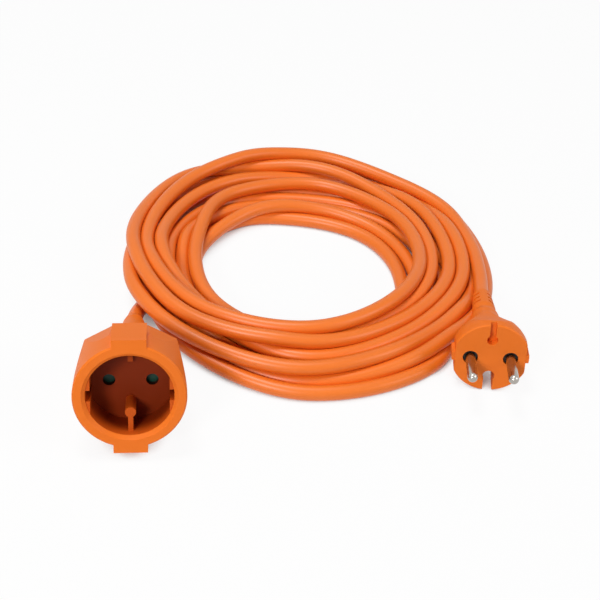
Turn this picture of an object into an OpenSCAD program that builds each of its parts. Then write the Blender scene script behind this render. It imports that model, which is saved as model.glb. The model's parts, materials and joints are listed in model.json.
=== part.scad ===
// Two-pole extension cord for 19 mm round-pin mains plugs: a moulded plug, a moulded
// shuttered coupler with a round well, and a loose coil of two-core cord between them.
// Millimetres, +Z up. The origin is on the floor, midway between the two ends.

/* [Cord] */
// Diameter of the cord's sheath
cord_d = 7.4; // [6.6:0.1:8.0]
// Diameter of one insulated core
core_d = 2.6; // [2.2:0.1:2.8]
// Diameter of the bare copper in a core
wire_d = 1.6; // [1.2:0.1:1.8]
// Distance between the two cores inside the sheath
core_pitch = 2.9; // [2.9:0.1:3.2]
// Diameter of the coil across its outermost turns
coil_d = 202; // [190:1:206]
// Diameter of the coil's eye
eye_d = 105; // [96:1:112]
// Height of the coil's layers of turns
coil_h = 21; // [15:1:22]

/* [Pins and poles] */
// Distance between the two poles
pole_pitch = 19; // [18:0.5:20]
// Diameter of a plug pin
pin_d = 4.8; // [4:0.1:5]
// Length of a plug pin in front of the plug's face
pin_l = 19; // [17:0.5:21]
// Diameter of a pin's shank in the carrier
shank_d = 3.8; // [3.4:0.1:4]
// Diameter of the crimp barrels on pins and contacts
crimp_d = 4; // [3.4:0.1:4.2]
// Length of a crimp barrel
crimp_l = 6; // [5:0.5:7]
// Length of the cord's sheath held inside each body
sheath_in = 4; // [3:0.5:5]
// Distance of the key post and key notch from the line of the poles
key_drop = 10; // [9:0.5:11]

/* [Plug] */
// Diameter of the plug's face
plug_d = 37; // [36:0.2:37.6]
// Distance across the plug's side flats
plug_flats = 33.4; // [32:0.2:33.8]
// Thickness of the plug's rim
plug_rim = 4; // [3:0.5:5]
// Length of the plug's body behind its face
plug_l = 35; // [33:1:40]
// Diameter of the plug's body at its rear end
plug_tail_d = 14; // [12:0.2:15]
// Slimness of the plug's grip seen from the side
grip_power = 2.1; // [1.4:0.1:2.6]
// Distance across the plug's two guide ribs
guide_w = 36.6; // [35:0.2:37]
// Height of a guide rib
guide_h = 4.4; // [3.6:0.2:4.6]
// Length of a guide rib along the plug
guide_l = 9; // [7:0.5:11]
// Width of the key notch
notch_w = 4.6; // [3.6:0.2:4.8]
// Diameter of the key notch's round end
notch_d = 5.6; // [5.2:0.1:6]
// Depth of the key notch
notch_l = 13; // [12.5:0.5:15]
// Diameter of the round recess above the pins
recess_d = 5.2; // [4.6:0.2:6]
// Depth of the round recess
recess_l = 4; // [3:0.5:5]
// Width of the groove from the recess to the rim
groove_w = 3; // [2.6:0.2:4]
// Depth of that groove
groove_l = 3; // [2.6:0.2:3.6]
// Diameter of the collar around each pin
collar_d = 7.2; // [6.8:0.2:7.6]
// How far the collar lies behind the plug's face
collar_sink = 1.5; // [1:0.1:2]
// Length of a collar in front of the pin carrier's plate
collar_l = 2; // [1.5:0.5:3]
// Length of the pin carrier's plate along the plug
carrier_l = 6; // [5:0.5:7]
// Height of the pin carrier's plate
carrier_h = 8; // [7.8:0.2:9]
// Length of the plug's strain relief behind the body
plug_relief_l = 23; // [21:1:28]

/* [Coupler] */
// Diameter of the coupler's front ring
ring_d = 49.4; // [48:0.2:51]
// Diameter of the round well
well_d = 38.4; // [38.2:0.1:39.4]
// Distance across the well's side flats
well_flats = 34.2; // [34:0.2:35]
// Depth of the well
well_l = 17.5; // [17:0.5:19]
// Depth of the lip in front of the well's lining
lip_l = 2; // [1.5:0.5:3]
// Height of the well's guide grooves
slot_h = 5.2; // [4.8:0.2:6]
// Diameter of the lining that carries the well
lining_d = 41; // [40.6:0.1:42]
// Thickness of the lining's floor
floor_t = 3; // [2.5:0.5:4]
// Diameter of the pole holes
hole_d = 5.5; // [5.2:0.1:5.8]
// Diameter of the key post
post_d = 4.8; // [4.2:0.1:5]
// Height of the key post above the well's floor
post_l = 12; // [10:0.5:12.5]
// Thickness of the key post's web and of the top rib
web_t = 2.2; // [1.8:0.1:2.4]
// Height of the top rib above the well's floor
rib_l = 2.5; // [1.5:0.1:2.5]
// Half height of the foot and of the top pad from the coupler's axis
pad_r = 27.1; // [26:0.1:28]
// Width of the foot and of the top pad
pad_w = 15; // [12:0.5:18]
// Length of the foot and of the top pad
pad_l = 18; // [14:1:22]
// Length of the coupler's drum
drum_l = 30; // [28:1:34]
// Half width of the drum at its rear end
drum_rear = 20.6; // [20.4:0.1:22]
// Height of the drum's two side flats at its rear end
side_flat = 27.8; // [26:0.2:30]
// Width of the drum's top and bottom flats at its rear end
end_flat = 16; // [14:0.2:18]
// Wall of the housing round the rear end of the contact block
shell_wall = 1.25; // [1.2:0.05:1.6]
// Length of the coupler's body behind the crimps of its contacts
tail_l = 14.5; // [13:0.5:18]
// Diameter of the coupler's body at its rear end
coupler_tail_d = 14.4; // [13:0.2:18]
// Length of the coupler's strain relief behind the body
coupler_relief_l = 23; // [20:1:34]

/* [Shutter and contacts] */
// Thickness of the shutter
shutter_t = 1.4; // [1:0.1:2]
// Diameter of the spindle that the shutter turns on
spindle_d = 4; // [3:0.2:4.6]
// Wall of the shutter's hub round the spindle
hub_wall = 2.5; // [1.5:0.25:3]
// Width of the shutter's arms
arm_w = 4.4; // [3:0.2:6]
// Diameter of each shutter blade
blade_d = 7.2; // [6.8:0.1:7.4]
// Angle that the shutter turns through, from closed to its open stop
shutter_turn = 40; // [38:1:44]
// Diameter of the two pegs that stop the shutter
stop_d = 3; // [2:0.5:3.5]
// Thickness of the shutter spring's wire
spring_wire = 0.5; // [0.4:0.1:0.6]
// Turns of the shutter spring
spring_turns = 3; // [2:1:4]
// Gap between the spindle and the shutter spring
spring_gap = 0.95; // [0.6:0.05:1.2]
// Outer diameter of a contact sleeve
sleeve_d = 6.2; // [5.9:0.1:6.6]
// Length of a contact sleeve
sleeve_l = 13; // [12.5:0.5:14]
// Diameter of the flange behind a contact sleeve
flange_d = 7.6; // [7:0.2:8]
// Thickness of that flange
flange_t = 1; // [0.8:0.1:1.5]
// Diameter of the contact block
block_d = 30; // [29.5:0.5:31]
// Wall of the contact block between the shutter and the contacts
block_wall = 3; // [2.5:0.5:4]
// Thickness of the contact block's rear cover
cover_t = 2; // [1.5:0.5:3]

/* [Resting places] */
// Plug: turn about the vertical
plug_yaw = -1; // [-10:1:10]
// Plug: lift of its face, with its tail on the outermost turn
plug_tilt = 7; // [4:0.5:10]
// Plug: roll about its own axis
plug_roll = 2.8; // [0:0.2:6]
// Coupler: turn about the vertical
coupler_yaw = 8; // [0:1:12]
// Coupler: lift of its face, with its foot's rear edge on the floor
coupler_tilt = 15.5; // [10:0.5:18]

/* [Hidden] */
$fn = 96;
// Clearance of fixed fits, of the shutter's bearing and of its faces
fit = 0.05;
run = 0.05;
// Overlap that keeps cuts from ending flush with a face
cut = 1;
// Length of the spigot that each strain relief has inside its body
spigot_l = 3;
// Depth that a rib or a peg runs into the wall that it stands on
sink = 0.5;
// Free length between a crimp and the insulation of its core, and between a bend and the sheath
end_gap = 0.5;
bend_gap = 1;
// Thickness of the floor of a crimp's bore
crimp_floor = 1;
// Gap between the shutter and its stops, and between turns of its spring
stop_gap = 0.2;
turn_gap = 0.1;
// Depth of the spindle's end in the contact block
spindle_seat = 2.4;
// Straight length of the cord behind each strain relief
lead = 3;
// Half the distance between the poles
pole_x = pole_pitch / 2;

// Places of the plug's face and the coupler's mouth, on the pole line, seen from above
plug_at = [84.2, 4.8];
coupler_at = [-77.6, -54.6];
// Centre of the outermost turn and centre of the eye, seen from above
coil_at = [-5, 90.5];
eye_at = [-9, 74];
// Heights at which the rim's rear edge and the foot's rear edge lie on the floor
plug_z = plug_d / 2 * cos(plug_tilt) + plug_rim * sin(plug_tilt);
coupler_z = pad_r * cos(coupler_tilt) + pad_l * sin(coupler_tilt);

// Distances behind the plug's face
carrier_at = collar_sink + collar_l;
crimp_at = carrier_at + carrier_l;
plug_core_at = crimp_at + crimp_l + end_gap;
plug_sheath_at = plug_l - sheath_in;
plug_bend_end = plug_sheath_at - bend_gap;
plug_end = plug_l + plug_relief_l;

// Distances behind the coupler's mouth
floor_rear = well_l + floor_t;
shutter_at = floor_rear + run;
chamber_rear = floor_rear + shutter_t + 2 * run;
sleeve_at = chamber_rear + block_wall;
flange_at = sleeve_at + sleeve_l;
coupler_crimp_at = flange_at + flange_t;
cover_at = coupler_crimp_at + fit;
coupler_core_at = coupler_crimp_at + crimp_l + end_gap;
coupler_l = coupler_core_at + tail_l;
coupler_sheath_at = coupler_l - sheath_in;
coupler_bend_end = coupler_sheath_at - bend_gap;
coupler_end = coupler_l + coupler_relief_l;
spindle_l = shutter_t + 2 * run + spindle_seat;
chamber_d = pole_pitch + blade_d + 2 * sink;
spring_d = spindle_d + 2 * spring_gap + spring_wire;

// ---------------------------------------------------------------- placing

module at_plug()
    translate([plug_at[0], plug_at[1], plug_z])
        rotate([0, 0, plug_yaw]) rotate([90 - plug_tilt, 0, 0]) rotate([0, 0, plug_roll]) children();

module at_coupler()
    translate([coupler_at[0], coupler_at[1], coupler_z])
        rotate([0, 0, coupler_yaw]) rotate([90 - coupler_tilt, 0, 0]) children();

// A point that lies on an end's axis, this far behind its face
function behind(at, z, yaw, tilt, back) =
    [at[0] - sin(yaw) * cos(tilt) * back, at[1] + cos(yaw) * cos(tilt) * back, z - sin(tilt) * back];

// ---------------------------------------------------------------- shared shapes

// A cylinder from one distance behind the face to another
module rod(from, to, d, x = 0, y = 0)
    translate([x, y, -to]) cylinder(d = d, h = to - from);

// A box centred on the axis, from one distance behind the face to another
module bar(from, to, w, h, x = 0, y = 0)
    translate([x - w / 2, y - h / 2, -to]) cube([w, h, to - from]);

// A turned shape from [distance behind the face, diameter] pairs
module turned(steps) {
    first = steps[0][0];
    last = steps[len(steps) - 1][0];
    rotate_extrude() polygon(concat([[0, -first]], [for (s = steps) [s[1] / 2, -s[0]]], [[0, -last]]));
}

// Points of a smooth fall from one diameter to another, for turned()
function bell(from, to, d0, d1, n) =
    [for (i = [0:n]) [from + (to - from) * i / n, d1 + (d0 - d1) * (1 + cos(180 * i / n)) / 2]];

// One core, or the channel it lies in: straight from the crimp, aslant, then straight to the sheath
module core_run(d, from, bend, bend_end, end, side) {
    slant_x = pole_x - core_pitch / 2;
    slant_l = norm([slant_x, bend_end - bend]);
    rod(from, bend + d / 4, d, side * pole_x);
    rod(bend_end - d / 4, end, d, side * core_pitch / 2);
    translate([side * pole_x, 0, -bend])
        rotate([0, side * (180 + atan(slant_x / (bend_end - bend))), 0]) cylinder(d = d, h = slant_l);
}

// A direction of unit length
function unit(v) = v / norm(v);

// A round tube along points: one ring of corners a point, square to the path
function ring_at(p, i, r, sides) =
    let (a = p[max(i - 1, 0)], b = p[min(i + 1, len(p) - 1)], t = unit(b - a),
         s = unit(cross(t, [0, 0, 1])), u = cross(s, t))
    [for (k = [0:sides - 1]) p[i] + r * (cos(360 * k / sides) * s + sin(360 * k / sides) * u)];

module tube_along(p, d, sides) {
    n = len(p);
    corners = [for (i = [0:n - 1]) each ring_at(p, i, d / 2, sides)];
    walls = [for (i = [0:n - 2], k = [0:sides - 1])
        let (k2 = (k + 1) % sides)
        [i * sides + k, i * sides + k2, (i + 1) * sides + k2, (i + 1) * sides + k]];
    first = [[for (k = [sides - 1:-1:0]) k]];
    last = [[for (k = [0:sides - 1]) (n - 1) * sides + k]];
    polyhedron(corners, concat(walls, first, last), convexity = 6);
}

// A point on the smooth curve through p[i] and p[i + 1]
function curve_point(p, i, t) =
    let (a = p[max(i - 1, 0)], b = p[i], c = p[i + 1], d = p[min(i + 2, len(p) - 1)])
    0.5 * (2 * b + (c - a) * t + (2 * a - 5 * b + 4 * c - d) * t * t + (3 * b - a - 3 * c + d) * t * t * t);

function smooth_route(p, parts) =
    concat([for (i = [0:len(p) - 2], j = [0:parts - 1]) curve_point(p, i, j / parts)], [p[len(p) - 1]]);

// ---------------------------------------------------------------- plug

// Half height of the grip, falling from the rim to just outside the tail
function grip_half(s) =
    let (t = (s - plug_rim) / (plug_l - plug_rim), outside = 0.4)
    plug_tail_d / 2 + outside + (plug_d - plug_tail_d) / 2 * pow(1 - t, grip_power);

// Body, with its rim, its bell, its side flats and a grip that is hollowed above and below
module plug_outline() {
    edge = 0.6;
    steps = 9;
    bell_steps = 13;
    stations = [for (i = [0:steps]) plug_rim + (plug_l - plug_rim) * i / steps];
    top = [for (s = stations) [grip_half(s), -s]];
    bottom = [for (i = [steps:-1:0]) [-grip_half(stations[i]), -stations[i]]];
    rim = [[-plug_d, -plug_rim], [-plug_d, cut], [plug_d, cut], [plug_d, -plug_rim]];
    fall = bell(plug_rim, plug_l, plug_d, plug_tail_d, bell_steps);
    intersection() {
        turned(concat([[0, plug_d - 2 * edge], [edge, plug_d]], fall));
        bar(-cut, plug_l + cut, plug_flats, plug_d + 2 * cut);
        translate([-plug_d / 2, 0, 0])
            rotate([90, 0, 90]) linear_extrude(plug_d) polygon(concat(rim, top, bottom));
    }
    intersection() {
        bar(edge, guide_l, guide_w, guide_h);
        rod(0, guide_l, guide_w);
    }
}

module plug_body()
    color("#f57d35") at_plug() difference() {
        plug_outline();
        // key notch, open at the bottom
        rod(-cut, notch_l, notch_d, 0, -key_drop);
        bar(-cut, notch_l, notch_w, plug_d / 2, 0, -key_drop - plug_d / 4);
        // round recess above the pins, with a groove up to the rim
        rod(-cut, recess_l, recess_d, 0, key_drop);
        bar(-cut, groove_l, groove_w, plug_d / 2, 0, key_drop + plug_d / 4);
        // seat of the pin carrier and its two collars
        bar(carrier_at, crimp_at, pole_pitch + carrier_h, carrier_h);
        for (side = [-1, 1]) {
            rod(-cut, carrier_at + cut, collar_d + 2 * fit, side * pole_x);
            rod(crimp_at - cut, plug_core_at, crimp_d + 2 * fit, side * pole_x);
            core_run(core_d + 2 * fit, plug_core_at - cut, plug_core_at + bend_gap, plug_bend_end,
                     plug_l + cut, side);
        }
        // bore for the sheath and the strain relief's spigot
        rod(plug_sheath_at, plug_l + cut, cord_d + 2 * fit);
        rod(plug_l - spigot_l, plug_l + cut, spigot_d(plug_tail_d) + 2 * fit);
    }

function spigot_d(tail_d) = (cord_d + tail_d) / 2;

// Black moulded carrier that holds the two pins apart
module plug_carrier()
    color("#26221f") at_plug() difference() {
        union() {
            bar(carrier_at, crimp_at, pole_pitch + carrier_h, carrier_h);
            for (side = [-1, 1]) rod(collar_sink, carrier_at + cut, collar_d, side * pole_x);
        }
        for (side = [-1, 1]) rod(0, crimp_at + cut, shank_d + 2 * fit, side * pole_x);
    }

// Solid pin with a round nose, a thinner shank and a bored crimp barrel
module pin(side)
    translate([side * pole_x, 0, 0]) difference() {
        union() {
            translate([0, 0, pin_l - pin_d / 2]) sphere(d = pin_d);
            rod(-pin_l + pin_d / 2, collar_sink, pin_d);
            rod(0, crimp_at, shank_d);
            rod(crimp_at, crimp_at + crimp_l, crimp_d);
        }
        rod(crimp_at + crimp_floor, crimp_at + crimp_l + cut, wire_d + 2 * fit);
    }

module plug_pin_left() color("#c9c5bd") at_plug() pin(-1);

module plug_pin_right() color("#c9c5bd") at_plug() pin(1);

module plug_core(side)
    at_plug() difference() {
        core_run(core_d, plug_core_at, plug_core_at + bend_gap, plug_bend_end, plug_end, side);
        rod(0, plug_core_at + bend_gap, wire_d + 2 * fit, side * pole_x);
    }

module plug_core_brown() color("#6b3a1e") plug_core(-1);

module plug_core_blue() color("#2a5fa8") plug_core(1);

// Bare copper ends in the two crimps
module plug_wires()
    color("#b8703c") at_plug()
        for (side = [-1, 1]) rod(crimp_at + crimp_floor, plug_core_at + bend_gap, wire_d, side * pole_x);

// Tapered sleeve with a waist and three rows of slots on each side
module plug_strain_relief() {
    waist_d = 11.2;
    waist_l = 5;
    head_d = 11.8;
    head_l = 8;
    tip_d = 9.4;
    edge = 0.6;
    slots = 3;
    slot_w = 1.3;
    slot_step = 4;
    slot_at = plug_l + 9.4;
    slot_floor = 0.5;
    spine_w = 4;
    color("#f57d35") at_plug() difference() {
        union() {
            turned(concat(bell(plug_l, plug_l + waist_l, plug_tail_d, waist_d, 4),
                          [[plug_l + head_l, head_d], [plug_end - edge, tip_d], [plug_end, tip_d - edge]]));
            rod(plug_l - spigot_l, plug_l, spigot_d(plug_tail_d));
        }
        rod(plug_l - spigot_l - cut, plug_end + cut, cord_d + 2 * fit);
        for (i = [0:slots - 1], side = [-1, 1])
            difference() {
                bar(slot_at + i * slot_step, slot_at + i * slot_step + slot_w, head_d, head_d * 2,
                    side * (head_d + spine_w) / 2);
                rod(plug_l, plug_end, cord_d + 2 * slot_floor);
            }
    }
}

// End of the cord's sheath, held in the strain relief
module sheath(from, to)
    difference() {
        rod(from, to, cord_d);
        for (side = [-1, 1]) rod(from - cut, to + cut, core_d + 2 * fit, side * core_pitch / 2);
    }

module plug_sheath_end() color("#f57d35") at_plug() sheath(plug_sheath_at, plug_end);

// ---------------------------------------------------------------- coupler

// Corners of the drum's eight-sided rear end, times a factor
function drum_corners(k) =
    let (w = drum_rear, a = side_flat / 2, b = end_flat / 2)
    [for (q = [[w, a], [b, w], [-b, w], [-w, a], [-w, -a], [-b, -w], [b, -w], [w, -a]]) k * q];

// Round drum that eight flats cut back towards its rear end
module drum() {
    edge = 0.7;
    front = (ring_d / 2 + sink) / drum_rear;
    intersection() {
        turned([[0, ring_d - 2 * edge], [edge, ring_d], [drum_l, ring_d]]);
        hull() {
            translate([0, 0, -edge]) linear_extrude(edge) polygon(drum_corners(front));
            translate([0, 0, -drum_l]) linear_extrude(edge) polygon(drum_corners(1));
        }
    }
}

module coupler_outline() {
    step = 1;
    bell_d = 2 * (drum_rear - step);
    bell_steps = 12;
    // share of the bell's length at which it has narrowed to the wall round the contact block
    walled_d = block_d + 2 * fit + 2 * shell_wall;
    share = acos(2 * (walled_d - coupler_tail_d) / (bell_d - coupler_tail_d) - 1) / 180;
    bell_at = (cover_at + cover_t - share * coupler_l) / (1 - share);
    root_r = well_d / 2 + 2;
    drum();
    // foot below, pad above
    for (side = [-1, 1]) bar(0, pad_l, pad_w, pad_r - root_r, 0, side * (pad_r + root_r) / 2);
    turned(concat([[floor_rear, bell_d]], bell(bell_at, coupler_l, bell_d, coupler_tail_d, bell_steps)));
}

module coupler_housing() {
    lip_edge = 1.6;
    color("#f57d35") at_coupler() difference() {
        coupler_outline();
        rod(-cut, lip_l + cut, well_d);
        turned([[-cut, well_d + 2 * lip_edge + 2 * cut], [lip_edge, well_d]]);
        rod(lip_l, floor_rear, lining_d + 2 * fit);
        rod(floor_rear - cut, cover_at + cover_t, block_d + 2 * fit);
        for (side = [-1, 1]) {
            rod(cover_at, coupler_core_at, crimp_d + 2 * fit, side * pole_x);
            core_run(core_d + 2 * fit, coupler_core_at - cut, coupler_core_at + bend_gap, coupler_bend_end,
                     coupler_l + cut, side);
        }
        rod(coupler_sheath_at, coupler_l + cut, cord_d + 2 * fit);
        rod(coupler_l - spigot_l, coupler_l + cut, spigot_d(coupler_tail_d) + 2 * fit);
    }
}

// Outline of the well: a circle with two side flats and two guide grooves
module well_outline() {
    intersection() {
        circle(d = well_d);
        union() {
            square([well_flats, well_d], center = true);
            square([well_d, slot_h], center = true);
        }
    }
}

// Hard lining: the well's wall and floor, with its key post, top rib and shutter spindle
module well_lining() {
    web_h = well_d / 2 - key_drop + sink;
    web_y = key_drop + web_h / 2;
    color("#ea6f2a") at_coupler() {
        difference() {
            rod(lip_l, floor_rear, lining_d);
            translate([0, 0, -well_l]) linear_extrude(well_l) well_outline();
            for (side = [-1, 1]) rod(well_l - cut, floor_rear + cut, hole_d, side * pole_x);
        }
        rod(well_l - post_l, well_l + cut, post_d, 0, -key_drop);
        bar(well_l - post_l, well_l + cut, web_t, web_h, 0, -web_y);
        bar(well_l - rib_l, well_l + cut, web_t, web_h, 0, web_y);
        rod(floor_rear - cut, floor_rear + spindle_l, spindle_d);
    }
}

// Turning shutter: two blades on a hub
module shutter()
    color("#1f6b4a") at_coupler() difference() {
        union() {
            rod(shutter_at, shutter_at + shutter_t, spindle_d + 2 * hub_wall);
            bar(shutter_at, shutter_at + shutter_t, pole_pitch, arm_w);
            for (side = [-1, 1]) rod(shutter_at, shutter_at + shutter_t, blade_d, side * pole_x);
        }
        rod(shutter_at - cut, shutter_at + shutter_t + cut, spindle_d + 2 * run);
    }

// Torsion spring that turns the shutter back over the holes
module shutter_spring() {
    steps = 16;
    pitch = spring_wire + turn_gap;
    start = -chamber_rear - turn_gap - spring_wire / 2;
    r = spring_d / 2;
    points = [for (i = [0:steps * spring_turns])
        [r * cos(360 * i / steps), r * sin(360 * i / steps), start - pitch * i / steps]];
    color("#9aa0a6") at_coupler() tube_along(points, spring_wire, 8);
}

// Block that holds the two contacts behind the shutter, with the pegs that stop the shutter
module contact_block() {
    pocket_d = spring_d + 3 * spring_wire;
    pocket_l = (spring_turns + 1) * (spring_wire + turn_gap) + 2 * turn_gap;
    // angle from a blade to the peg that it rests against
    apart = 2 * asin(((blade_d + stop_d) / 2 + stop_gap) / pole_pitch);
    color("#26221f") at_coupler() {
        difference() {
            rod(floor_rear, coupler_crimp_at, block_d);
            rod(floor_rear - cut, chamber_rear, chamber_d);
            rod(chamber_rear - cut, floor_rear + spindle_l, spindle_d + 2 * fit);
            rod(chamber_rear - cut, chamber_rear + pocket_l, pocket_d);
            for (side = [-1, 1]) {
                rod(chamber_rear - cut, sleeve_at + cut, hole_d, side * pole_x);
                rod(sleeve_at, coupler_crimp_at + cut, sleeve_d + 2 * fit, side * pole_x);
                rod(flange_at, coupler_crimp_at + cut, flange_d + 2 * fit, side * pole_x);
            }
        }
        for (angle = [shutter_turn + apart, 180 - apart])
            rod(floor_rear + fit, chamber_rear + sink, stop_d, pole_x * cos(angle), pole_x * sin(angle));
    }
}

// Slit contact sleeve with a flange and a crimp barrel
module contact(side) {
    slit_w = 0.7;
    slit_end = flange_at - 2.5;
    translate([side * pole_x, 0, 0]) difference() {
        union() {
            rod(sleeve_at, flange_at + cut, sleeve_d);
            rod(flange_at, coupler_crimp_at, flange_d);
            rod(flange_at, coupler_crimp_at + crimp_l, crimp_d);
        }
        rod(sleeve_at - cut, flange_at - crimp_floor, pin_d + 2 * fit);
        bar(sleeve_at - cut, slit_end, sleeve_d + cut, slit_w);
        bar(sleeve_at - cut, slit_end, slit_w, sleeve_d + cut);
        rod(coupler_crimp_at + end_gap, coupler_crimp_at + crimp_l + cut, wire_d + 2 * fit);
    }
}

module contact_left() color("#d2a13c") at_coupler() contact(-1);

module contact_right() color("#d2a13c") at_coupler() contact(1);

// Cover that closes the block behind the contacts
module block_cover()
    color("#26221f") at_coupler() difference() {
        rod(cover_at, cover_at + cover_t, block_d);
        for (side = [-1, 1]) rod(cover_at - cut, cover_at + cover_t + cut, crimp_d + 2 * fit, side * pole_x);
    }

module coupler_core(side)
    at_coupler() difference() {
        core_run(core_d, coupler_core_at, coupler_core_at + bend_gap, coupler_bend_end, coupler_end, side);
        rod(0, coupler_core_at + bend_gap, wire_d + 2 * fit, side * pole_x);
    }

module coupler_core_brown() color("#6b3a1e") coupler_core(-1);

module coupler_core_blue() color("#2a5fa8") coupler_core(1);

module coupler_wires()
    color("#b8703c") at_coupler()
        for (side = [-1, 1])
            rod(coupler_crimp_at + end_gap, coupler_core_at + bend_gap, wire_d, side * pole_x);

// Plain tapered sleeve behind the coupler
module coupler_strain_relief() {
    neck_d = 10.8;
    neck_l = 6;
    tip_d = 8.4;
    edge = 0.6;
    color("#f57d35") at_coupler() difference() {
        union() {
            turned(concat(bell(coupler_l, coupler_end - neck_l, coupler_tail_d, neck_d, 8),
                          [[coupler_end - edge, tip_d], [coupler_end, tip_d - edge]]));
            rod(coupler_l - spigot_l, coupler_l, spigot_d(coupler_tail_d));
        }
        rod(coupler_l - spigot_l - cut, coupler_end + cut, cord_d + 2 * fit);
    }
}

module coupler_sheath_end() color("#f57d35") at_coupler() sheath(coupler_sheath_at, coupler_end);

// ---------------------------------------------------------------- cord

// Routes from each strain relief to the coil: straight out of the exit, then on by hand
plug_exit = behind(plug_at, plug_z, plug_yaw, plug_tilt, plug_end);
plug_lead = behind(plug_at, plug_z, plug_yaw, plug_tilt, plug_end + lead);
plug_route = [plug_lead, [85.3, 73, 10.5], [85.3, 80, 10.5], [85, 88, 10.5]];
coupler_exit = behind(coupler_at, coupler_z, coupler_yaw, coupler_tilt, coupler_end);
coupler_lead = behind(coupler_at, coupler_z, coupler_yaw, coupler_tilt, coupler_end + lead);
coupler_route = [coupler_lead, [-88.5, 34, 6.5], [-86.5, 42, 5], [-84.5, 51, 4]];

module cord_to_plug()
    color("#f57d35") tube_along(concat([plug_exit], smooth_route(plug_route, 2)), cord_d, 12);

module cord_to_coupler()
    color("#f57d35") tube_along(concat([coupler_exit], smooth_route(coupler_route, 2)), cord_d, 12);

// Outer shape of the coiled turns: a flat-bottomed ring with an eye off its centre
module cord_coil() {
    round_r = cord_d / 2;
    foot_in = 0.5;
    waist_in = 1;
    shoulder_in = 7;
    top_in = 13;
    top_round = 4;
    room = 0.8;
    tail_over = 15;
    shoulder = top_round - coil_h;
    outside = [[0, round_r], [-round_r / 2, foot_in], [-round_r, 0], [-cord_d, waist_in],
               [shoulder, shoulder_in], [-coil_h, top_in]];
    color("#f57d35") difference() {
        translate([coil_at[0], coil_at[1], 0]) turned([for (q = outside) [q[0], coil_d - 2 * q[1]]]);
        translate([eye_at[0], eye_at[1], 0])
            turned([[cut, eye_d], [shoulder, eye_d], [-coil_h, eye_d + 2 * top_round],
                    [-coil_h - cut, eye_d + 2 * (top_round + cut)]]);
        // room for the plug's tail and strain relief
        at_plug() rod(plug_l - tail_over, plug_end, plug_tail_d + 2 * room);
    }
}

plug_body();
plug_carrier();
plug_pin_left();
plug_pin_right();
plug_core_brown();
plug_core_blue();
plug_wires();
plug_strain_relief();
plug_sheath_end();
coupler_housing();
well_lining();
shutter();
shutter_spring();
contact_block();
contact_left();
contact_right();
block_cover();
coupler_core_brown();
coupler_core_blue();
coupler_wires();
coupler_strain_relief();
coupler_sheath_end();
cord_to_plug();
cord_coil();
cord_to_coupler();
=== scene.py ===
import json
import math

import bpy
import numpy as np
from mathutils import Matrix, Vector


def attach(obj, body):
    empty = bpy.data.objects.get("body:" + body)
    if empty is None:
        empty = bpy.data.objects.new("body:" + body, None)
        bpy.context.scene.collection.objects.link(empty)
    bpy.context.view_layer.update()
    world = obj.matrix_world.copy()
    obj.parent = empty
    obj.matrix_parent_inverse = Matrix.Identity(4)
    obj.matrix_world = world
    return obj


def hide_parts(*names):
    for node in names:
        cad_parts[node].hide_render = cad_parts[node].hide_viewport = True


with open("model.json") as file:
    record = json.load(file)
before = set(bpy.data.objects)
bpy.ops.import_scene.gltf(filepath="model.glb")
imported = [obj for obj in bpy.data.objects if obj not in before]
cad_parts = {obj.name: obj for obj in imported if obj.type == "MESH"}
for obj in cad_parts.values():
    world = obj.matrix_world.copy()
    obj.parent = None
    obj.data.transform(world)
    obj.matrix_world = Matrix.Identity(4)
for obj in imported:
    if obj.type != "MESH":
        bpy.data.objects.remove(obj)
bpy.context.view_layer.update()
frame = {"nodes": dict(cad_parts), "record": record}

# ---------------------------------------------------------------- the room

# The object lies on a plain pale floor in soft studio light. The camera stands in front of it and a
# little above, with a long lens, and leans slightly to one side.

camera_place = (-0.00804, -0.43109, 0.38540)
camera_pitch = math.radians(38)
camera_lean = math.radians(4.5)
lens = bpy.data.cameras.new("camera")
lens.lens = 72
lens.sensor_width = 36
camera = bpy.data.objects.new("camera", lens)
camera.matrix_world = (
    Matrix.Translation(camera_place)
    @ Matrix.Rotation(math.pi / 2 - camera_pitch, 4, "X")
    @ Matrix.Rotation(camera_lean, 4, "Z")
)
bpy.context.scene.collection.objects.link(camera)
bpy.context.scene.camera = camera
bpy.context.scene.view_settings.view_transform = "Standard"

object_middle = Vector((0, 0.06, 0.01))


def add_lamp(name, place, size, power):
    """A square soft lamp at a place, turned towards the object."""
    data = bpy.data.lights.new(name, "AREA")
    data.size = size
    data.energy = power
    lamp = bpy.data.objects.new(name, data)
    lamp.location = place
    lamp.rotation_euler = (object_middle - Vector(place)).to_track_quat("-Z", "Y").to_euler()
    bpy.context.scene.collection.objects.link(lamp)


add_lamp("lamp above", (-0.25, 0.10, 1.3), size=0.4, power=8.9)
add_lamp("lamp in front", (-0.6, -1.2, 0.9), size=0.4, power=13)
add_lamp("lamp at the right", (1.2, -0.3, 0.8), size=0.6, power=5)


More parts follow.
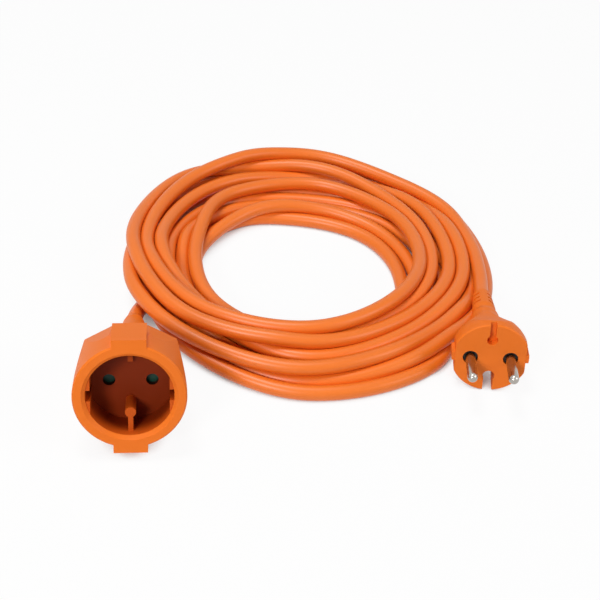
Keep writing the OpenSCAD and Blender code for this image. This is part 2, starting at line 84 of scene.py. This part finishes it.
class Wire:
    """An output of a shader node. Sums and products of wires add the Math nodes that they need."""

    def __init__(self, socket):
        self.socket = socket

    def take(self, inputs):
        """Gives inputs of this wire's own node their plain values, or links from other wires."""
        for name, value in inputs.items():
            socket = self.socket.node.inputs[name]
            if isinstance(value, Wire):
                self.socket.id_data.links.new(value.socket, socket)
            else:
                socket.default_value = value

    def node(self, kind, settings=None, inputs=None, output=0):
        """Adds a node beside this one: its settings first, then its inputs. Gives one output."""
        made = self.socket.id_data.nodes.new(kind)
        for name, value in (settings or {}).items():
            setattr(made, name, value)
        wire = Wire(made.outputs[output])
        wire.take(inputs or {})
        return wire

    def math(self, operation, *others):
        """A Math node on this wire and the others."""
        return self.node("ShaderNodeMath", {"operation": operation}, dict(enumerate((self, *others))))

    def vector(self, operation, other, output="Vector"):
        """A Vector Math node on this wire and the other."""
        return self.node("ShaderNodeVectorMath", {"operation": operation}, {0: self, 1: other}, output)

    def mix(self, first, second):
        """The first colour where this wire is 0 and the second where it is 1."""
        colours = {0: self, 6: first, 7: second}
        return self.node("ShaderNodeMix", {"data_type": "RGBA"}, colours, output=2)

    def rise(self, start, end):
        """Climbs smoothly from 0 where this wire is at the start to 1 where it is at the end."""
        inputs = {"Value": self, "From Min": start, "From Max": end}
        return self.node("ShaderNodeMapRange", {"interpolation_type": "SMOOTHSTEP"}, inputs)

    def __add__(self, other):
        return self.math("ADD", other)

    def __sub__(self, other):
        return self.math("SUBTRACT", other)

    def __rsub__(self, other):
        return self.node("ShaderNodeMath", {"operation": "SUBTRACT"}, {0: other, 1: self})

    def __mul__(self, other):
        return self.math("MULTIPLY", other)

    __radd__ = __add__
    __rmul__ = __mul__


def seen_directly(start):
    """1 for rays from the camera, and for those that a glossy or clear surface sends on."""
    paths = start.node("ShaderNodeLightPath").socket.node.outputs
    glossy_or_clear = Wire(paths["Is Glossy Ray"]).math("MAXIMUM", Wire(paths["Is Transmission Ray"]))
    return glossy_or_clear.math("MAXIMUM", Wire(paths["Is Camera Ray"]))


def show(shader):
    """Puts a shader in place of the one that its tree came with."""
    tree = shader.socket.id_data
    tree.links.new(shader.socket, tree.get_output_node("ALL").inputs["Surface"])


white = (1, 1, 1, 1)
sky_light = 0.13


def add_world():
    """White where it is seen, and much weaker where it only gives light."""
    world = bpy.data.worlds.new("studio")
    bpy.context.scene.world = world
    world.use_nodes = True
    light = Wire(world.node_tree.nodes["Background"].outputs["Background"])
    light.take({"Color": white, "Strength": sky_light})
    bright = light.node("ShaderNodeBackground", None, {"Color": white, "Strength": 1.0})
    show(light.node("ShaderNodeMixShader", None, {0: seen_directly(light), 1: light, 2: bright}))


add_world()


def new_material(name):
    """A material, and a wire from its Principled shader."""
    material = bpy.data.materials.new(name)
    material.use_nodes = True
    return material, Wire(material.node_tree.nodes["Principled BSDF"].outputs["BSDF"])


floor_reach = 4.0
floor_grey = (0.82, 0.82, 0.82, 1)
floor_whiteness = 0.92
# Painted shade: within this reach of the object, ambient occlusion takes the floor's whiteness away
gap_reach = 0.013
gap_dark = 0.08
gap_clear = 0.45


def add_floor():
    """A wide pale floor that keeps a faint shadow of the object, with painted shade in narrow gaps."""
    mesh = bpy.data.meshes.new("floor")
    corners = [(x * floor_reach, y * floor_reach, 0) for x, y in ((-1, -1), (1, -1), (1, 1), (-1, 1))]
    mesh.from_pydata(corners, [], [(0, 1, 2, 3)])
    material, start = new_material("floor")
    grey = start.node("ShaderNodeBsdfDiffuse", None, {"Color": floor_grey})
    bright = start.node("ShaderNodeEmission", None, {"Color": white, "Strength": 1.0})
    # Painted shade: where the occlusion is deep the floor loses its white, so narrow gaps show dark
    gap_occlusion = start.node("ShaderNodeAmbientOcclusion", {"samples": 8}, {"Distance": gap_reach}, "AO")
    whiteness = seen_directly(start) * gap_occlusion.rise(gap_dark, gap_clear) * floor_whiteness
    show(start.node("ShaderNodeMixShader", None, {0: whiteness, 1: grey, 2: bright}))
    mesh.materials.append(material)
    floor = bpy.data.objects.new("floor", mesh)
    bpy.context.scene.collection.objects.link(floor)


add_floor()

# ---------------------------------------------------------------- cord

# About 5.2 m of round two-core cord in one piece, with an extruded orange PVC sheath. It comes out of
# the coupler's strain relief, is wound by hand into ten and a half loose turns, each laid on those
# before it, and goes back over the outermost turn into the plug's strain relief.

nodes = frame["nodes"]
mounts = {mount["name"]: mount for mount in frame["record"]["mounts"]}
cord_d = 0.0074
coupler_exit = Vector((-0.088731, 0.024603, 0.008744))
coupler_axis = -Vector(mounts["hole_left"]["axis"])
plug_exit = Vector((0.085205, 0.062359, 0.011781))
plug_axis = -Vector(mounts["pin_left"]["axis"])
exit_lead = 0.003
coupler_route = [(-0.0885, 0.034, 0.0065), (-0.0865, 0.042, 0.005), (-0.0845, 0.051, 0.004)]
plug_route = [(0.0853, 0.073, 0.0105), (0.0853, 0.080, 0.0105)]
plug_over_turn = (0.0811, 0.1130, 0.019)
turns_middle = (-0.005, 0.085)
# Radius of each turn in mm, the last laid first: at the right, then anticlockwise at each eighth
turns = [
    (89, 94, 98.5, 92.5, 86.5, 77, 68.5, 60.5),
    (59.5, 65.5, 73, 71.5, 62, 64.5, 68, 62),
    (65, 72.5, 88, 100.5, 92, 86, 75.5, 67),
    (74.5, 82.5, 87, 83, 77.5, 71, 80.3, 75.5),
    (82, 89, 96, 95, 90.5, 91, 90, 84),
    (89, 84, 75, 87, 85, 90, 90, 89.5),
    (94.5, 101.5, 105, 102, 92.5, 90, 95, 95.5),
    (81, 71.5, 66, 73.5, 74, 79, 84.5, 84),
    (70, 63, 58.5, 64.5, 69, 70, 77, 73),
    (57.5, 53, 51, 54.5, 62, 62.5, 69.5, 62),
    (49, 46, 46, 57.5, 73),
]
turn_parts = 8
lowest_height = 0.006
rise_per_turn = 0.005


def smooth_through(points, parts):
    """A smooth curve through the points, with that many parts to a step."""
    p = np.vstack([2 * points[0] - points[1], points, 2 * points[-1] - points[-2]])
    t = (np.arange(parts) / parts)[:, None]
    curve = []
    for a, b, c, d in zip(p, p[1:], p[2:], p[3:]):
        curve.append(0.5 * (2 * b + (c - a) * t + (2 * a - 5 * b + 4 * c - d) * t**2
                            + (3 * b - a - 3 * c + d) * t**3))
    return np.vstack([*curve, points[-1]])


def evenly_spaced(points, step):
    """The same line with its points about one step apart."""
    along = np.r_[0, np.cumsum(np.linalg.norm(np.diff(points, axis=0), axis=1))]
    places = np.linspace(0, along[-1], round(along[-1] / step) + 1)
    return np.stack([np.interp(places, along, points[:, k]) for k in range(3)], axis=1)


def planned_line(step):
    """The cord's line from plug to coupler before it settles: a loose spiral, the last turn on top."""
    radii = [radius / 1000 for turn in turns for radius in turn]
    x, y = turns_middle
    spiral = []
    for i, radius in enumerate(radii[1:], 1):
        angle = i * math.pi / (turn_parts / 2)
        height = lowest_height + (len(radii) - i) / turn_parts * rise_per_turn
        spiral.append((x + radius * math.cos(angle), y + radius * math.sin(angle), height))
    plug_lead = plug_exit + exit_lead * plug_axis
    coupler_lead = coupler_exit + exit_lead * coupler_axis
    line = [plug_exit, plug_lead, *plug_route, plug_over_turn, *spiral]
    line += [*coupler_route[::-1], coupler_lead, coupler_exit]
    return evenly_spaced(smooth_through(np.array(line), parts=12), step)


# In each round the cord sinks, is drawn to its plan, straightens, keeps its length and is pushed off
# itself where it overlaps. A share is how much of a whole correction one pass makes.
settling_rounds = 900
sink = 0.00012
plan_share = 0.04
bend_passes = 6
bend_share = 0.22
stretch_share = 0.25
search_every = 8
search_margin = 0.005
neighbour_reach = 2.2 * cord_d
contact_passes = 3
contact_share = 0.35
closing_passes = 2
closing_share = 0.25
held_points = 3


def fading(full, last_share, left):
    """A value that is full while all rounds are left, and falls to its last share."""
    return full * (last_share + (1 - last_share) * left)


def soften(line, share, planned=0):
    """Draws each point towards the middle of its neighbours, less the bend that was planned."""
    curl = line[:-2] + line[2:] - 2 * line[1:-1]
    curl[:, :2] -= planned
    line[1:-1] += share * curl


def keep_length(line, length):
    """Draws the ends of each segment towards its own length."""
    part = np.diff(line, axis=0)
    now = np.linalg.norm(part, axis=1)
    pull = part * (stretch_share * (1 - length / now))[:, None]
    line[:-1] += pull
    line[1:] -= pull


def pairs_within(line, reach, apart):
    """Pairs of segments whose middles are within reach, but for neighbours along the line."""
    centres = (line[:-1] + line[1:]) / 2
    square = (centres**2).sum(1)
    between = square[:, None] + square[None] - 2 * centres @ centres.T
    return np.nonzero(np.triu(between < reach**2, apart))


def nearest_gaps(line, i, j):
    """For pairs of segments: the shortest way from one to the other, and where along each it stands."""
    parallel = 1e-14
    start, other = line[i], line[j]
    u, v = line[i + 1] - start, line[j + 1] - other
    w = start - other
    uu, vv, uv = (u * u).sum(1), (v * v).sum(1), (u * v).sum(1)
    uw, vw = (u * w).sum(1), (v * w).sum(1)
    flat = np.maximum(uu * vv - uv * uv, parallel)
    s = np.clip((uv * vw - uw * vv) / flat, 0, 1)
    t = np.clip((uv * s + vw) / vv, 0, 1)
    s = np.clip((uv * t - uw) / uu, 0, 1)
    return w + u * s[:, None] - v * t[:, None], s[:, None], t[:, None]


def push_apart(line, i, j):
    """Moves the pairs of segments that are less than a diameter apart away from each other."""
    touching = 1e-9
    gap, s, t = nearest_gaps(line, i, j)
    wide = np.linalg.norm(gap, axis=1)
    hit = wide < cord_d
    push = gap[hit] * (contact_share * (cord_d / np.maximum(wide[hit], touching) - 1))[:, None]
    move = np.zeros_like(line)
    np.add.at(move, i[hit], push * (1 - s[hit]))
    np.add.at(move, i[hit] + 1, push * s[hit])
    np.add.at(move, j[hit], -push * (1 - t[hit]))
    np.add.at(move, j[hit] + 1, -push * t[hit])
    line += move


def settle(line, step, rounds):
    """Lets the line sink until it lies on the floor and on itself, a diameter apart, near its plan."""
    line = line.copy()
    plan = line[:, :2].copy()
    length = np.linalg.norm(np.diff(plan, axis=0), axis=1)
    planned_bend = plan[:-2] + plan[2:] - 2 * plan[1:-1]
    held = np.r_[0:held_points, len(line) - held_points:len(line)]
    held_at = line[held].copy()
    apart = math.ceil(neighbour_reach / step)
    for n in range(rounds):
        left = 1 - n / rounds
        line[:, 2] -= fading(sink, last_share=0.25, left=left)
        line[:, :2] += fading(plan_share, last_share=0.4, left=left) * (plan - line[:, :2])
        for _ in range(bend_passes):
            soften(line, bend_share, planned_bend)
            line[held] = held_at
        keep_length(line, length)
        if n % search_every == 0:
            i, j = pairs_within(line, cord_d + step + search_margin, apart)
        for _ in range(contact_passes):
            push_apart(line, i, j)
            line[:, 2] = np.maximum(line[:, 2], cord_d / 2)
            line[held] = held_at
    for _ in range(closing_passes):
        soften(line, closing_share)
    return line


def tube_mesh(name, line, radius, sides):
    """A closed tube along a line, with its rings carried on from one point to the next."""
    ahead = np.gradient(line, axis=0)
    ahead /= np.linalg.norm(ahead, axis=1)[:, None]
    along = np.r_[0, np.cumsum(np.linalg.norm(np.diff(line, axis=0), axis=1))]
    across = np.cross(ahead[0], (0, 0, 1))
    angles = np.linspace(0, 2 * math.pi, sides, endpoint=False)
    corners = []
    for point, way in zip(line, ahead):
        across = across - way * (across @ way)
        across /= np.linalg.norm(across)
        above = np.cross(across, way)
        corners += [point + radius * (math.cos(a) * across + math.sin(a) * above) for a in angles]
    rings = len(line)
    faces = []
    for ring in range(rings - 1):
        here, there = ring * sides, (ring + 1) * sides
        for k in range(sides):
            after = (k + 1) % sides
            faces.append((here + k, here + after, there + after, there + k))
    faces.append(tuple(range(sides))[::-1])
    faces.append(tuple((rings - 1) * sides + k for k in range(sides)))
    mesh = bpy.data.meshes.new(name)
    mesh.from_pydata([tuple(c) for c in corners], [], faces)
    mesh.update()
    mesh.polygons.foreach_set("use_smooth", [True] * len(mesh.polygons))
    chart = mesh.uv_layers.new(name="along and around")
    for face in mesh.polygons:
        for loop in face.loop_indices:
            ring, k = divmod(mesh.loops[loop].vertex_index, sides)
            gap_occlusion = 1 if k == 0 and face.index % sides == sides - 1 else k / sides
            chart.data[loop].uv = (along[ring], gap_occlusion)
    return mesh


def noise(place, scale, detail):
    """Soft random blotches at a place, more of them to a metre as the scale grows."""
    return place.node("ShaderNodeTexNoise", None, {"Vector": place, "Scale": scale, "Detail": detail})


def bump(height, strength, distance):
    """A surface that stands up where the height is great."""
    inputs = {"Height": height, "Strength": strength, "Distance": distance}
    return height.node("ShaderNodeBump", None, inputs)


sheath_dark = (0.78, 0.160, 0.012, 1)
sheath_light = (0.84, 0.190, 0.017, 1)
dust_colour = (0.95, 0.30, 0.07, 1)
draw_lines = (14, 34, 1)


def sheath_finish():
    """Extruded PVC: smooth and slightly glossy, with faint draw lines along it and a little dust."""
    material, shader = new_material("cord pvc")
    chart = shader.node("ShaderNodeTexCoord", output="UV")
    place = shader.node("ShaderNodeTexCoord", output="Object")
    lines = noise(chart.vector("MULTIPLY", draw_lines), scale=1, detail=3)
    patches = noise(place, scale=28, detail=2)
    fine = noise(place, scale=900, detail=4)
    dusty = {"Value": fine, "From Min": 0.62, "From Max": 0.80, "To Max": 0.25}
    dust = fine.node("ShaderNodeMapRange", None, dusty)
    shader.take({
        "Base Color": dust.mix(patches.mix(sheath_dark, sheath_light), dust_colour),
        "Roughness": lines * 0.12 + patches * 0.10 + 0.28,
        "Normal": bump(lines * 0.6 + fine * 0.4, strength=0.12, distance=0.0002),
        "Specular IOR Level": 0.45,
    })
    return material


settling_step = 0.005
cord_line = settle(planned_line(settling_step), settling_step, settling_rounds)
ring_step = 0.002
cord_path = evenly_spaced(smooth_through(cord_line, parts=3), ring_step)
cord = bpy.data.objects.new("cord", tube_mesh("cord", cord_path, cord_d / 2, sides=24))
bpy.context.scene.collection.objects.link(cord)
cord_pvc = sheath_finish()
cord.data.materials.append(cord_pvc)
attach(cord, "root")
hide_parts("cord_to_plug", "cord_coil", "cord_to_coupler")


def dress(material, *names):
    """Gives CAD nodes a finish."""
    for name in names:
        nodes[name].data.materials.clear()
        nodes[name].data.materials.append(material)


dress(cord_pvc, "plug_sheath_end", "coupler_sheath_end")

# ---------------------------------------------------------------- cores and their copper

# Inside the sheath lie two cores, brown for the line and blue for the neutral, each a bundle of fine
# copper strands in soft PVC. Their stripped ends are crimped in the pins and contacts.

brown_dark = (0.10, 0.035, 0.013, 1)
brown_light = (0.16, 0.055, 0.02, 1)
blue_dark = (0.015, 0.07, 0.30, 1)
blue_light = (0.025, 0.11, 0.40, 1)
# Painted shade: the colour of the creases between the copper strands
copper_gap_shade = (0.36, 0.13, 0.05, 1)
copper_ridge = (0.93, 0.50, 0.30, 1)


def core_finish(name, dark, light):
    """Soft extruded PVC in one colour, with a faint mottle."""
    material, shader = new_material(name)
    mottle = noise(shader.node("ShaderNodeTexCoord", output="Object"), scale=400, detail=3)
    shader.take({"Base Color": mottle.mix(dark, light), "Roughness": mottle * 0.2 + 0.35})
    return material


def strand_finish():
    """Bare copper strands: bright ridges that run round the bundle, with painted shade between them."""
    material, shader = new_material("copper")
    place = shader.node("ShaderNodeTexCoord", output="Object")
    bands = {"Vector": place, "Scale": 900, "Distortion": 1.5}
    wave = place.node("ShaderNodeTexWave", {"bands_direction": "DIAGONAL"}, bands, "Fac")
    shader.take({
        "Base Color": wave.mix(copper_gap_shade, copper_ridge),
        "Roughness": 0.42 - wave * 0.18,
        "Normal": bump(wave, strength=0.5, distance=0.0001),
        "Metallic": 1.0,
    })
    return material


dress(core_finish("brown core", brown_dark, brown_light), "plug_core_brown", "coupler_core_brown")
dress(core_finish("blue core", blue_dark, blue_light), "plug_core_blue", "coupler_core_blue")
dress(strand_finish(), "plug_wires", "coupler_wires")

# ---------------------------------------------------------------- pins

# Two solid brass pins of 4.8 mm, turned on a lathe with round noses and plated with bright nickel.
# Their thinner shanks sit in the carrier, and their bored ends are crimped on the copper.

nickel_dark = (0.34, 0.31, 0.28, 1)
nickel_light = (0.50, 0.47, 0.43, 1)


def turned_metal(name, dark, light, axis, ring_pitch, roughness):
    """Plated or bare metal from a lathe: fine rings across its axis and soft stains."""
    material, shader = new_material(name)
    place = shader.node("ShaderNodeTexCoord", output="Object")
    along = place.vector("DOT_PRODUCT", axis, output="Value")
    rings = (along * (2 * math.pi / ring_pitch)).math("SINE") * 0.5 + 0.5
    stains = noise(place, scale=260, detail=4)
    shader.take({
        "Base Color": stains.mix(dark, light),
        "Roughness": stains * 0.14 + rings * 0.04 + roughness,
        "Normal": bump(rings * 0.5 + stains * 0.5, strength=0.08, distance=0.00005),
        "Metallic": 1.0,
    })
    return material


nickel = turned_metal("nickel", nickel_dark, nickel_light, plug_axis, ring_pitch=0.0004, roughness=0.10)
dress(nickel, "plug_pin_left", "plug_pin_right")

# ---------------------------------------------------------------- pin carrier

# A bar of black glass-filled nylon that holds the pins 19 mm apart. It is moulded round their shanks
# and buried in the plug's body, so only its two round collars show.

black = (0.010, 0.009, 0.008, 1)
worn_black = (0.020, 0.017, 0.014, 1)


def moulded(name, dark, light, roughness, grain, depth, sheen=0.3):
    """A moulded plastic: an even colour with soft clouds, and the fine grain of its mould."""
    material, shader = new_material(name)
    place = shader.node("ShaderNodeTexCoord", output="Object")
    clouds = noise(place, scale=45, detail=3)
    pits = noise(place, scale=grain, detail=2)
    shader.take({
        "Base Color": clouds.mix(dark, light),
        "Roughness": clouds * 0.08 + pits * 0.14 + roughness,
        "Normal": bump(pits, strength=depth, distance=0.0001),
        "Specular IOR Level": sheen,
    })
    return material


black_plastic = moulded("black plastic", black, worn_black, roughness=0.34, grain=2200, depth=0.25)
dress(black_plastic, "plug_carrier")

# ---------------------------------------------------------------- plug body and its strain relief

# One shot of soft orange PVC moulded over the carrier, the crimps and the end of the sheath. The body's
# top and bottom are hollowed for the fingers, and the tapered relief behind it has rows of open slots.

orange = (0.80, 0.163, 0.011, 1)
light_orange = (0.86, 0.186, 0.015, 1)
body_pvc = moulded("body pvc", orange, light_orange, roughness=0.38, grain=1500, depth=0.22, sheen=0.2)
dress(body_pvc, "plug_body", "plug_strain_relief")

# ---------------------------------------------------------------- contacts

# Two sleeves of spring brass, slit lengthways so that they grip a pin, each with a flange that keeps
# it in the black contact block and a barrel that is crimped on the copper.

brass_dark = (0.60, 0.40, 0.13, 1)
brass_light = (0.80, 0.56, 0.20, 1)
brass = turned_metal("contact brass", brass_dark, brass_light, coupler_axis,
                     ring_pitch=0.0005, roughness=0.20)
dress(brass, "contact_left", "contact_right")

# ---------------------------------------------------------------- contact block and its cover

# A block of the same black nylon as the pin carrier. The contacts are pushed into it from behind and
# its rear cover shuts them in, and two small pegs on its face stop the shutter.

dress(black_plastic, "contact_block", "block_cover")

# ---------------------------------------------------------------- shutter and its spring

# A dark green nylon shutter turns on a spindle behind the well's floor and closes both pole holes. A
# small torsion spring of steel wire turns it back when the plug is drawn.

# The shutter's dark green is the nylon's own, painted darker still as the shade at the bottom of the pole
# holes
shaded_green = (0.005, 0.038, 0.023, 1)
shaded_light_green = (0.009, 0.062, 0.038, 1)
steel_dark = (0.34, 0.35, 0.37, 1)
steel_light = (0.52, 0.54, 0.57, 1)
green_plastic = moulded("shutter plastic", shaded_green, shaded_light_green, roughness=0.30, grain=1800, depth=0.15)
steel = turned_metal("spring steel", steel_dark, steel_light, coupler_axis,
                     ring_pitch=0.0006, roughness=0.22)
dress(green_plastic, "shutter")
dress(steel, "shutter_spring")

# ---------------------------------------------------------------- well lining

# A hard plastic cup that the soft housing is moulded round. It carries the floor with the two pole
# holes, the key post on its web, the short top rib and the guide grooves at the sides.

# Painted shade: the lining is the housing's orange, painted darker for the shade inside the well
lining_orange_in_shade = (0.58, 0.092, 0.005, 1)
lining_light_in_shade = (0.64, 0.105, 0.007, 1)
# Painted shade: the lining's colour darkens with depth in the well, and nearly to black in the pole holes
deep_shade = (0.36, 0.235, 0.10, 1)
hole_shade = (0.1, 0.1, 0.1, 1)
mouth_to_exit = 0.083
well_mouth = coupler_exit - mouth_to_exit * coupler_axis
well_sideways = coupler_axis.cross((0, 0, 1)).normalized()
well_upwards = well_sideways.cross(coupler_axis)
well_floor = 0.0175
post_drop = 0.010
post_radius = 0.0027
web_half = 0.0013
shade_start = 0.002
shade_full = 0.0125
# The post, its web and the rib lose this share of the painted shade, as light reaches them
post_light = 0.55
edge = 0.0001


def shade_the_well(material):
    """Paints shade deeper towards the floor and in the holes, less on the post, its web and the rib."""
    shader = Wire(material.node_tree.nodes["Principled BSDF"].outputs["BSDF"])
    paint = Wire(shader.socket.node.inputs["Base Color"].links[0].from_socket)
    inward = shader.node("ShaderNodeTexCoord", output="Object").vector("SUBTRACT", well_mouth)
    depth = inward.vector("DOT_PRODUCT", coupler_axis, output="Value")
    across = inward.vector("DOT_PRODUCT", well_sideways, output="Value")
    below = inward.vector("DOT_PRODUCT", well_upwards, output="Value") + post_drop
    from_post = (across * across + below * below).math("SQRT")
    in_web = across.math("ABSOLUTE").math("LESS_THAN", web_half)
    proud = in_web.math("MAXIMUM", from_post.math("LESS_THAN", post_radius))
    wall_shade = depth.rise(shade_start, shade_full) * (1 - proud * post_light)
    floor_shade = depth.rise(well_floor - 4 * edge, well_floor - edge)
    hole = depth.rise(well_floor + edge, well_floor + 6 * edge)
    # Painted shade on the walls and floor, and darker painted shade in the holes
    well_shade = wall_shade.math("MAXIMUM", floor_shade).mix(white, deep_shade)
    dark = hole.mix(white, hole_shade)
    shader.take({"Base Color": paint.vector("MULTIPLY", well_shade).vector("MULTIPLY", dark)})


lining = moulded("lining plastic", lining_orange_in_shade, lining_light_in_shade,
                 roughness=0.45, grain=1900, depth=0.15, sheen=0.16)
shade_the_well(lining)
dress(lining, "well_lining")

# ---------------------------------------------------------------- coupler housing and its strain relief

# Soft orange PVC moulded over the block and the lining: a round ring in front, a drum that eight flats
# cut back, a foot and a pad that keep it from rolling, and a bell that falls to the relief.

dress(body_pvc, "coupler_housing", "coupler_strain_relief")
